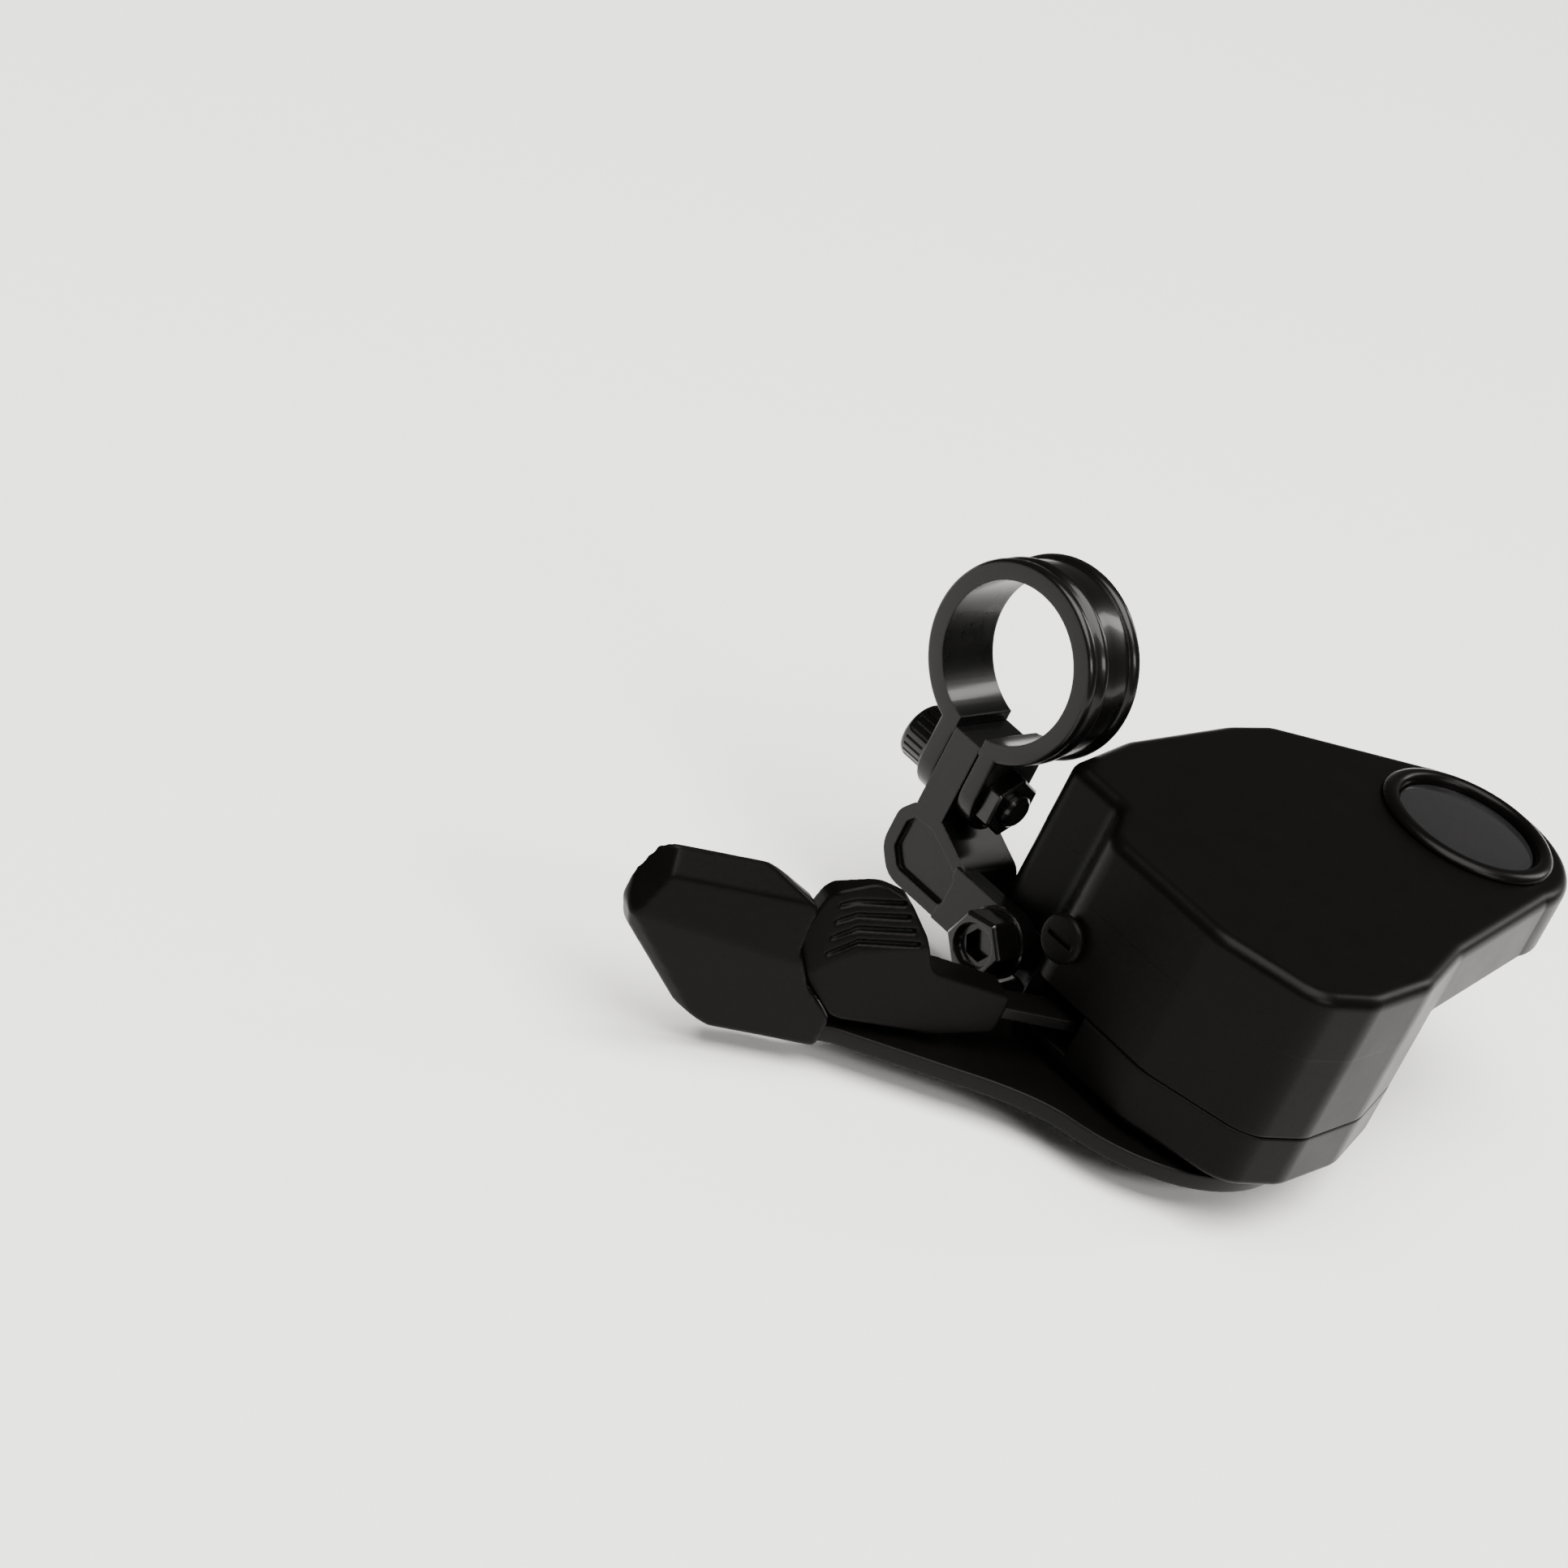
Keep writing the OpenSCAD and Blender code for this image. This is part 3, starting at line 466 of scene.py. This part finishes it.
# ---------------------------------------------------------------- clamp bolt and nut
head_y = -5.5
bolt = turned("pinch_bolt", [(0, head_y - 5), (3.7, head_y - 5), (4.05, head_y - 4.75), (4.25, head_y - 4.3),
              (4.25, head_y - 0.25), (4.05, head_y), (2.5, head_y), (2.5, 8.7), (2.1, 9.1), (0, 9.1)], 60,
              about_y(0, pinch_z))
socket = stack("socket", hexagon(4.0), [(0, head_y - 6), (0, head_y - 2)], about_y(0, pinch_z))
flutes = [turned("flute", [(0, head_y - 4.0), (0.24, head_y - 4.0), (0.24, head_y - 0.8), (0, head_y - 0.8)], 8,
                 about_y(4.3 * sin(15 * k), pinch_z + 4.3 * cos(15 * k))) for k in range(24)]
combine(bolt, [socket] + flutes)
piece(bolt, "root", "black_fastener_steel", ["clamp_bolt"])
nut = stack("pinch_nut", rounded(hexagon(8.0), 0.35, 3), [(0.3, 4.55), (0, 4.85), (0, 7.7), (0.3, 8.0)],
            about_y(0, pinch_z))
combine(nut, [turned("thread", [(0, 3), (2.6, 3), (2.6, 10), (0, 10)], 40, about_y(0, pinch_z))])
piece(nut, "root", "black_fastener_steel", ["clamp_nut"])

# ---------------------------------------------------------------- bracket and its bolt
tongue = ear_gap / 2 - 0.05
low = pinch_z - 5.5
profile = [(-tongue, low - 0.3), (-tongue - 2, low - 3), (-tongue - 2, bottom_z + 4), (-tongue + 1, bottom_z + 0.5),
           (rear_y - 0.6, bottom_z + 0.5), (rear_y - 0.6, low - 4), (tongue, low - 0.3)]
cast = rounded(profile, [1.5, 3, 4, 4, 2, 2.5, 2], 4)
arm = stack("bracket_arm", cast, [(0, -band_w / 2), (0, band_w / 2)], lambda x, y, z: (z, x, y))
neck = stack("neck", [Vector((-tongue, -band_w / 2)), Vector((tongue, -band_w / 2)), Vector((tongue, band_w / 2)),
             Vector((-tongue, band_w / 2))], [(0, low - 0.4), (0, -bar_r - 1.2)], lambda x, y, z: (y, x, z))
cheek = stack("cheek", [Vector((rear_y - 3, bottom_z + 0.5)), Vector((rear_y + 8, bottom_z + 0.5)),
              Vector((rear_y + 8, bottom_z + 8.9)), Vector((rear_y - 3, bottom_z + 8.9))],
              [(0, cheek_x + 0.2), (0, cheek_x + 3.4)], lambda x, y, z: (z, x, y))
eye = turned("eye", [(0, cheek_x + 0.2), (4.2, cheek_x + 0.2), (4.2, cheek_x + 3.4), (0, cheek_x + 3.4)], 48,
             about_x(bolt_y, bolt_z))
combine(arm, [neck, cheek, eye], "UNION")
combine(arm, [turned("h1", [(0, -14), (2.6, -14), (2.6, 14), (0, 14)], 40, about_y(0, pinch_z)),
              turned("h2", [(0, -11), (2.6, -11), (2.6, 14), (0, 14)], 40, about_x(bolt_y, bolt_z))])
pockets = [stack("pocket", rounded(inset(profile, 1.9), 1.2, 4), [(0, x0), (0, x1)], lambda x, y, z: (z, x, y))
           for x0, x1 in ((-band_w / 2 - 1, -band_w / 2 + 0.9), (band_w / 2 - 0.9, band_w / 2 + 1))]
combine(arm, pockets)
bevel(arm, 0.5, 3, 40)
piece(arm, "root", "gloss_black_metal", ["bracket"], sharp=40)

head_x = cheek_x + 3.4
lug = stack("bracket_lug", rounded(hexagon(8.4, 12), 0.5, 3),
            [(0, head_x + 0.6), (0, head_x + 4.9), (0.12, head_x + 5.2),
             (0.45, head_x + 5.5)], about_x(bolt_y, bolt_z))
shank = turned("shank", [(0, cheek_x - 5.4), (2.2, cheek_x - 5.4), (2.5, cheek_x - 5.1), (2.5, head_x), (4.8, head_x),
               (5.0, head_x + 0.2), (5.0, head_x + 0.8), (4.75, head_x + 1.0), (0, head_x + 1.0)], 60,
               about_x(bolt_y, bolt_z))
combine(lug, [shank], "UNION")
combine(lug, [turned("bowl", [(0, head_x + 4.2), (2.9, head_x + 4.2), (3.3, head_x + 5.6), (0, head_x + 5.6)], 48,
                     about_x(bolt_y, bolt_z)),
              stack("key", hexagon(4.0), [(0, head_x + 2.6), (0, head_x + 7)], about_x(bolt_y, bolt_z))])
piece(lug, "root", "black_fastener_steel", ["bracket_bolt"])

# ---------------------------------------------------------------- housings
mech = [(cheek_x, rear_y + 3), (cheek_x, rear_y + 13), (side_x, rear_y + 18.5), (side_x + 0.3, py + 9),
        (px + 11, py + 24), (px + 1, front_y), (px - 13, front_y - 1.5), (px - 26, front_y - 6.5),
        (inner_x, front_y - 13), (inner_x, rear_y + 2), (px - 31, rear_y - 0.3), (px - 8, rear_y)]
pod = mech[:8] + [(dx + 16.2 * cos(a), dy + 16.2 * sin(a)) for a in range(92, 245, 4)] + \
    [(px - 39, rear_y + 0.9), (px - 31, rear_y - 0.3), (px - 8, rear_y)]
screws = [(px - 31, rear_y + 6), (px - 29, front_y - 12.5), (px + 9.2, py + 18.4)]
soft_mech = [3.0, 3.0, 4.5, 9.0, 6.5, 8.0, 12.0, 12.0, 4.0, 4.0, 10.0, 10.0]
soft_pod = soft_mech[:8] + [3.0] + [0] * 37 + [3.0, 6.0, 10.0, 10.0]
upper = stack("pod_cover", rounded(pod, soft_pod, 6), soft_levels(display_floor_z, top_z, 0, 2.0, 6))
skirt = stack("skirt", inset(rounded(mech, soft_mech, 6), 0.03), soft_levels(split_z + 0.02, top_z - 2.5, 0.3, 0, 3))
nose = turned("nose", [(0, inner_x - 8), (3.9, inner_x - 8), (4.4, inner_x - 7.5), (4.4, inner_x + 1),
                       (0, inner_x + 1)], 56, about_x(cable_y, groove_z))
combine(upper, [skirt, nose], "UNION")
room = stack("room", rounded(inset(pod, wall), 1.5, 3), [(0, display_floor_z + wall), (0, top_z - wall)])
well = stack("well", rounded(inset(mech, wall), 1.5, 3), [(0, split_z - 1), (0, top_z - wall - 0.02)])
window = turned("window", [(0, top_z - 4), (lens_r + 1.6, top_z - 4), (lens_r + 1.6, top_z + 2), (0, top_z + 2)], 96,
                about_z(dx, dy))
wire_way = turned("wire_way", [(0, inner_x - 12), (2.6, inner_x - 12), (2.6, inner_x + 3), (0, inner_x + 3)], 40,
                  about_x(cable_y, groove_z))
port = turned("port", [(0, side_x - 4), (2.4, side_x - 4), (2.4, side_x + 4), (0, side_x + 4)], 40,
              about_x(cable_y, groove_z))
combine(upper, [room, well, window, wire_way, port])
pillars = [turned("pillar", [(1.1, split_z + 0.05), (3.0, split_z + 0.05), (3.0, top_z - wall + 0.1),
                             (1.1, top_z - wall + 0.1)], 32, about_z(*p)) for p in screws]
combine(upper, pillars, "UNION")
piece(upper, "root", "housing_plastic", ["upper_housing"], sharp=38)

lower = stack("pod_base", rounded(mech, soft_mech, 6), soft_levels(bottom_z, split_z - 0.02, 0.9, 0.3, 5))
well = stack("well", rounded(inset(mech, wall), 1.5, 3), [(0, floor_top_z), (0, split_z + 1)])
combine(lower, [well])
bosses = [turned("boss", [(1.6, bottom_z + 0.6), (3.4, bottom_z + 0.6), (3.4, split_z - 0.1),
                          (1.6, split_z - 0.1)], 36,
                 about_z(*p)) for p in screws]
combine(lower, bosses, "UNION")
slot = stack("slot", [Vector((px + a, py + b)) for a, b in [(8, -1.4), (36, -6), (36, -42), (8, -11)]],
             [(0, floor_top_z), (0, split_z + 1)])
cuts = [slot, turned("hub_hole", [(0, bottom_z - 1), (5.3, bottom_z - 1), (5.3, split_z), (0, split_z)], 56,
                     about_z(px, py)),
        turned("bolt_hole", [(0, px - 6), (2.6, px - 6), (2.6, side_x), (0, side_x)], 40, about_x(bolt_y, bolt_z))]
for p in screws:
    cuts.append(turned("screw_hole", [(0, bottom_z - 1), (3.0, bottom_z - 1), (2.7, bottom_z + 0.3),
                                      (2.7, bottom_z + 2.2), (1.6, bottom_z + 2.2), (1.6, split_z + 1),
                                      (0, split_z + 1)], 40, about_z(*p)))
combine(lower, cuts)
piece(lower, "root", "housing_plastic", ["lower_housing"], sharp=38)

heads = []
for p in screws:
    screw = turned("case_screw", [(0, bottom_z + 0.42), (1.5, bottom_z + 0.5), (2.2, bottom_z + 0.85),
                                  (2.5, bottom_z + 1.4), (2.5, bottom_z + 2.15), (1, bottom_z + 2.15),
                                  (1, split_z + 7.4), (0, split_z + 8)], 40, about_z(*p))
    bars = [stack("bar", [Vector((p[0] + a, p[1] + b)) for a, b in quad], [(0, bottom_z), (0, bottom_z + 1.4)])
            for quad in ([(-1.6, -0.35), (1.6, -0.35), (1.6, 0.35), (-1.6, 0.35)],
                         [(-0.35, -1.6), (0.35, -1.6), (0.35, 1.6), (-0.35, 1.6)])]
    combine(screw, bars)
    heads.append(screw)
combine(heads[0], heads[1:], "UNION")
piece(heads[0], "root", "black_screw_steel", ["housing_screws"])

# ---------------------------------------------------------------- display
bezel = turned("bezel_ring", [
    (lens_r - 1, top_z - wall), (lens_r + 1.5, top_z - wall), (lens_r + 1.5, top_z + 0.02),
    (lens_r + 2.65, top_z + 0.02), (lens_r + 2.72, top_z + 0.2), (lens_r + 2.6, top_z + 0.6),
    (lens_r + 2.25, top_z + 0.98), (lens_r + 1.7, top_z + 1.24), (lens_r + 1.2, top_z + 1.3),
    (lens_r + 0.7, top_z + 1.18), (lens_r + 0.36, top_z + 0.85), (lens_r + 0.2, top_z + 0.3),
    (lens_r + 0.1, top_z - 0.3), (lens_r + 0.1, top_z - 1), (lens_r - 1, top_z - 1)], 120, about_z(dx, dy))
piece(bezel, "root", "bezel_plastic", ["display_bezel"], sharp=50)
lens = turned("lens_dome", [(0, top_z - 0.96), (lens_r, top_z - 0.96), (lens_r, top_z - 0.35),
                            (lens_r - 0.15, top_z - 0.17)] +
              [(lens_r * cos(a) , top_z - 0.2 + 0.6 * sin(a)) for a in range(12, 85, 9)] + [(0, top_z + 0.4)], 96,
              about_z(dx, dy))
piece(lens, "root", "lens_plastic", ["display_lens"], sharp=30)

# ---------------------------------------------------------------- levers
def sweep_to(a, b, c, n=8):
    """Smooth curve from a to c, drawn towards b."""
    a, b, c = Vector(a), Vector(b), Vector(c)
    return [a * (1 - t) ** 2 + b * 2 * t * (1 - t) + c * t * t for t in (k / n for k in range(1, n))]


rim = [Vector((hub_r * cos(a), hub_r * sin(a))) for a in range(40, 307, 3)]
outline = rim + sweep_to(rim[-1], (19, -14.1), (31, -10.4)) + \
    [Vector(p) for p in ((31, -10.4), (main_reach - 34, -3.4), (main_reach - 22, -2.4), (main_reach - 22, 2.9),
                         (main_reach - 38, 2.9), (32, 7.5))] + sweep_to((32, 7.5), (21, 10.0), rim[0])
plate = stack("lever_plate", [Vector(in_lever(p.x, p.y, 0)[:2]) for p in outline],
              [(0.5, hub_z), (0.15, hub_z + 0.15), (0, hub_z + 0.5),
               (0, hub_top_z - 0.5), (0.15, hub_top_z - 0.15), (0.5, hub_top_z)])
combine(plate, [turned("axle_hole", [(0, hub_z - 1), (3.05, hub_z - 1), (3.05, hub_top_z + 1),
                                     (0, hub_top_z + 1)], 48,
                       about_z(px, py))])
piece(plate, "main_lever", "lever_steel", ["main_lever"], sharp=38)


def blade(name, pts, n0, n1):
    """Upright slab in the lever's plane, in (reach, side, height)."""
    count = len(pts)
    verts = [(u, n, z) for n in (n0, n1) for u, z in pts]
    faces = [list(range(count)), list(range(count, 2 * count))[::-1]]
    faces += [[i, (i + 1) % count, count + (i + 1) % count, count + i] for i in range(count)]
    return solid(name, verts, faces)


def bar(a, b, width, depth, normal):
    """Straight groove cutter between two points lying on a face."""
    a, b, normal = Vector(a), Vector(b), Vector(normal).normalized()
    way = (b - a).normalized()
    side = way.cross(normal) * width / 2
    verts = [p + s * side + d * normal for p in (a - way * 0.25, b + way * 0.25) for s, d in
             ((-0.6, -depth), (0.6, -depth), (1.3, depth), (-1.3, depth))]
    return solid("bar", verts, [[0, 1, 2, 3], [7, 6, 5, 4], [0, 4, 5, 1], [1, 5, 6, 2], [2, 6, 7, 3], [3, 7, 4, 0]])


def to_lever(obj):
    obj.data.transform(Matrix(((U.x, N.x, 0, px), (U.y, N.y, 0, py), (0, 0, 1, 0), (0, 0, 0, 1))))
    return obj


R, H = main_reach, hub_z
head = blade("main_grip", [tuple(q) for q in rounded([
    (R - 35.8, H - 0.7), (R - 19.5, H - 0.6), (R - 14, H + 1.7), (R - 1.9, H + 12.4), (R, H + 15.9),
    (R - 0.4, H + 22.2),
    (R - 3.3, H + 24.4), (R - 18, H + 24.4), (R - 26.9, H + 20.1), (R - 26.5, H + 14), (R - 30.4, H + 8.4),
    (R - 33.3, H + 6.2), (R - 35.8, H + 3.9)], [0.6, 6, 6, 3.5, 3.5, 4, 4, 6, 1.5, 1, 2, 2, 0.6], 4)], -0.1, 4.5)
middle = (72, 1.5, -28)
slice_off(head, (86.9, 4.4, -25.5), (61.5, 4.4, -28.7), (68, 2.9, -41.7), middle)
slice_off(head, (86.9, 4.4, -25.5), (61.5, 4.4, -28.7), (74, 3.1, -20.0), middle)
slice_off(head, (82.7, 3.2, -19.9), (64.6, 3.2, -20.9), (74, 0.9, -16.4), middle)
slice_off(head, (86.4, 3.9, -25.6), (82.9, 3.0, -19.6), (87.1, 1.4, -22.5), middle)
slice_off(head, (86.6, 3.9, -25.9), (73, 3.0, -38.0), (87.0, 2.4, -27.4), middle)
slice_off(head, (86, 0.6, -20), (86, 0.6, -26), (83.4, -0.2, -22), middle)
slice_off(head, (70, 0.6, -16.8), (80, 0.6, -16.8), (75, -0.2, -18.6), middle)
sleeve = stack("sleeve", rounded([(R - 37, -3.2), (R - 28, -4.2), (R - 21, -3.4), (R - 20, -0.5), (R - 21, 2.6),
                                  (R - 30, 3.1),
                                  (R - 37, 3.0)], 2.0, 4), soft_levels(H - 0.7, hub_top_z + 0.9, 0.9, 0.6, 4))
heel = blade("heel", [(R - 35.8, H - 0.5), (R - 22, H - 0.4), (R - 21, H + 6), (R - 25, H + 12.8),
                      (R - 27.4, H + 12.4),
             (R - 30.4, H + 8.4), (R - 33.3, H + 6.2), (R - 35.8, H + 3.9)], -3.8, 0.5)
combine(head, [sleeve, heel], "UNION")
melt(head, 0.28, 10)
piece(to_lever(head), "main_lever", "lever_plastic", ["main_paddle"], sharp=60, weighted=False)

Q, B = release_reach, bottom_z
tab = blade("release_grip", [tuple(q) for q in rounded([
    (Q - 33, B + 2.2), (Q - 25, B + 0.2), (Q - 9.0, B + 0.1), (Q - 3.4, B + 4.3), (Q, B + 9.6), (Q - 1.9, B + 17.4),
    (Q - 8.1, B + 20), (Q - 13.2, B + 18.4), (Q - 17, B + 14.5), (Q - 20, B + 9.6), (Q - 33, B + 8)],
    [1, 8, 5, 3, 3, 3, 4, 4, 4, 3, 1], 4)], -2.1, 2.9)
middle = (48, 0, -29)
slice_off(tab, (51.6, 2.9, -26.4), (43.1, 2.9, -24.2), (50.0, 0.6, -17.2), middle)
slice_off(tab, (51.6, 2.9, -26.4), (56.1, 2.9, -29.7), (55.4, 1.0, -19.6), middle)
slice_off(tab, (56.1, 2.9, -29.7), (56.6, 1.1, -20.4), (59.7, 0.7, -27.2), middle)
slice_off(tab, (56.6, 2.9, -30.0), (51.9, 2.9, -36.1), (58.0, 2.1, -33.0), middle)
slice_off(tab, (50, -1.2, -17.4), (55, -1.2, -17.6), (52, -2.2, -19.4), middle)
grooves = []
for k in range(4):
    t = k / 3
    left = Vector((56.2, 1.25, -20.9)).lerp(Vector((55.6, 2.75, -27.6)), t)
    knee = Vector((54.2, 1.30, -19.9)).lerp(Vector((52.2, 2.50, -25.0)), t)
    right_end = Vector((47.4, 1.05, -18.9)).lerp(Vector((43.6, 2.70, -23.7)), t)
    grooves.append(bar(left, knee, 0.8, 0.7, (0.12, 1, 0.25)))
    grooves.append(bar(knee, right_end, 0.8, 0.7, (0.0, 1, 0.3)))
combine(tab, grooves)
melt(tab, 0.2, 3)
piece(to_lever(tab), "release_lever", "lever_plastic", ["release_paddle"], sharp=60, weighted=False)

# ---------------------------------------------------------------- axle nut, adjuster and port plug
nut = stack("lever_nut", rounded(hexagon(9.9), 0.4, 3), [(0.5, hub_z - 3.8), (0, hub_z - 3.35), (0, hub_z - 1.3),
            (0.35, hub_z - 0.95)], about_z(px, py))
combine(nut, [turned("thread", [(0, hub_z - 5), (3.02, hub_z - 5), (3.02, hub_z), (0, hub_z)], 40, about_z(px, py))])
piece(nut, "root", "plated_steel", ["axle_nut"])

x0 = inner_x - 8.3
knob = turned("cable_knob", [
    (0.9, x0 - 22 + 9), (2.05, x0 - 22 + 9), (2.05, x0 - 21.6), (2.35, x0 - 22), (2.95, x0 - 22), (3.25, x0 - 21.7),
    (3.25, x0 - 14.2), (3.9, x0 - 13.2), (4.35, x0 - 12.9), (4.5, x0 - 12.4), (4.5, x0 - 0.6), (4.2, x0 - 0.2),
    (3.7, x0 - 0.2), (3.7, x0 - 2.6), (2.5, x0 - 2.6), (2.5, inner_x + 1), (0.9, inner_x + 1)], 72,
    about_x(cable_y, groove_z))
ribs = [turned("rib", [(0, x0 - 12.3), (0.5, x0 - 12.3), (0.8, x0 - 11.9), (0.8, x0 - 1.4), (0.5, x0 - 1),
                       (0, x0 - 1)], 14,
               about_x(cable_y + 4.2 * cos(30 * k), groove_z + 4.2 * sin(30 * k))) for k in range(12)]
combine(knob, ribs, "UNION")
piece(knob, "adjuster", "adjuster_plastic", ["barrel_adjuster"])

plug = turned("port_cap", [(0, side_x - wall), (2.35, side_x - wall), (2.35, side_x + 0.3), (3.3, side_x + 0.3),
              (3.4, side_x + 0.45), (3.4, side_x + 1.1), (3.1, side_x + 1.42), (2.4, side_x + 1.5),
              (0, side_x + 1.5)], 56,
              about_x(cable_y, groove_z))
combine(plug, [stack("coin", [Vector((-2.2, -0.4)), Vector((2.2, -0.4)), Vector((2.2, 0.4)), Vector((-2.2, 0.4))],
                     [(0, side_x + 0.9), (0, side_x + 2)], about_x(cable_y, groove_z))])
piece(plug, "root", "housing_plastic", ["cable_port_plug"])

# ---------------------------------------------------------------- floor
floor_half, floor_z = 4, -0.0458
floor = solid("floor", [(-floor_half, -floor_half, floor_z), (floor_half, -floor_half, floor_z),
                        (floor_half, floor_half, floor_z), (-floor_half, floor_half, floor_z)], [[0, 1, 2, 3]])
paper = bpy.data.materials.new("paper")
paper.use_nodes = True
paper.node_tree.nodes["Principled BSDF"].inputs["Base Color"].default_value = (0.93, 0.93, 0.93, 1)
paper.node_tree.nodes["Principled BSDF"].inputs["Roughness"].default_value = 0.9
floor.data.materials.append(paper)
